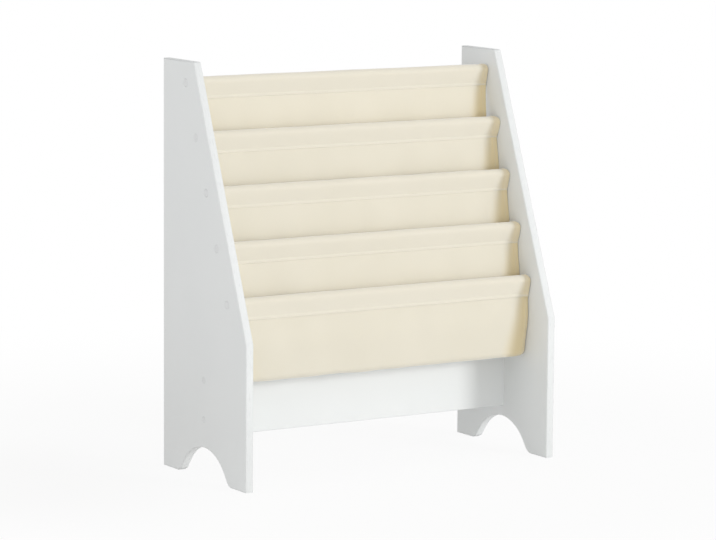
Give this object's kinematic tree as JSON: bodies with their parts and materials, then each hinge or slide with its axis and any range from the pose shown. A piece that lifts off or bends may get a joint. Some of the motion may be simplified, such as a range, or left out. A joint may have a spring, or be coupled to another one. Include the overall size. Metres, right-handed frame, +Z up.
{
  "type": "sling bookshelf",
  "caption": "Child's open bookshelf: sloping side panels joined by rods, with a hanging cloth sling that forms stepped, front-facing book pockets.",
  "frame": {"origin": "on the floor, under the middle of the width and of the depth", "axes": "+Z up, -Y towards the front that the pockets face, +X to the right as seen from the front"},
  "size_m": [0.62, 0.28, 0.7],
  "materials": {
    "lacquer": "white satin lacquer on MDF",
    "canvas": "cream cotton canvas, plain weave, slightly see-through",
    "coated_steel": "white powder coat",
    "zinc_steel": "bright zinc plating",
    "cover_plastic": "white matte plastic"
  },
  "bodies": {
    "root": {"side_panel_left": "lacquer", "side_panel_right": "lacquer", "lower_board": "lacquer", "sling": "canvas", "rod_1": "coated_steel", "rod_2": "coated_steel", "rod_3": "coated_steel", "rod_4": "coated_steel", "rod_5": "coated_steel", "rod_plug_left_1": "zinc_steel", "rod_plug_left_2": "zinc_steel", "rod_plug_left_3": "zinc_steel", "rod_plug_left_4": "zinc_steel", "rod_plug_left_5": "zinc_steel", "rod_plug_right_1": "zinc_steel", "rod_plug_right_2": "zinc_steel", "rod_plug_right_3": "zinc_steel", "rod_plug_right_4": "zinc_steel", "rod_plug_right_5": "zinc_steel", "rod_bolt_left_1": "zinc_steel", "rod_bolt_left_2": "zinc_steel", "rod_bolt_left_3": "zinc_steel", "rod_bolt_left_4": "zinc_steel", "rod_bolt_left_5": "zinc_steel", "rod_bolt_right_1": "zinc_steel", "rod_bolt_right_2": "zinc_steel", "rod_bolt_right_3": "zinc_steel", "rod_bolt_right_4": "zinc_steel", "rod_bolt_right_5": "zinc_steel", "rod_cap_left_1": "cover_plastic", "rod_cap_left_2": "cover_plastic", "rod_cap_left_3": "cover_plastic", "rod_cap_left_4": "cover_plastic", "rod_cap_left_5": "cover_plastic", "rod_cap_right_1": "cover_plastic", "rod_cap_right_2": "cover_plastic", "rod_cap_right_3": "cover_plastic", "rod_cap_right_4": "cover_plastic", "rod_cap_right_5": "cover_plastic", "board_screw_left_upper": "zinc_steel", "board_screw_left_lower": "zinc_steel", "board_screw_right_upper": "zinc_steel", "board_screw_right_lower": "zinc_steel", "board_cap_left_upper": "cover_plastic", "board_cap_left_lower": "cover_plastic", "board_cap_right_upper": "cover_plastic", "board_cap_right_lower": "cover_plastic"}
  },
  "joints": []
}
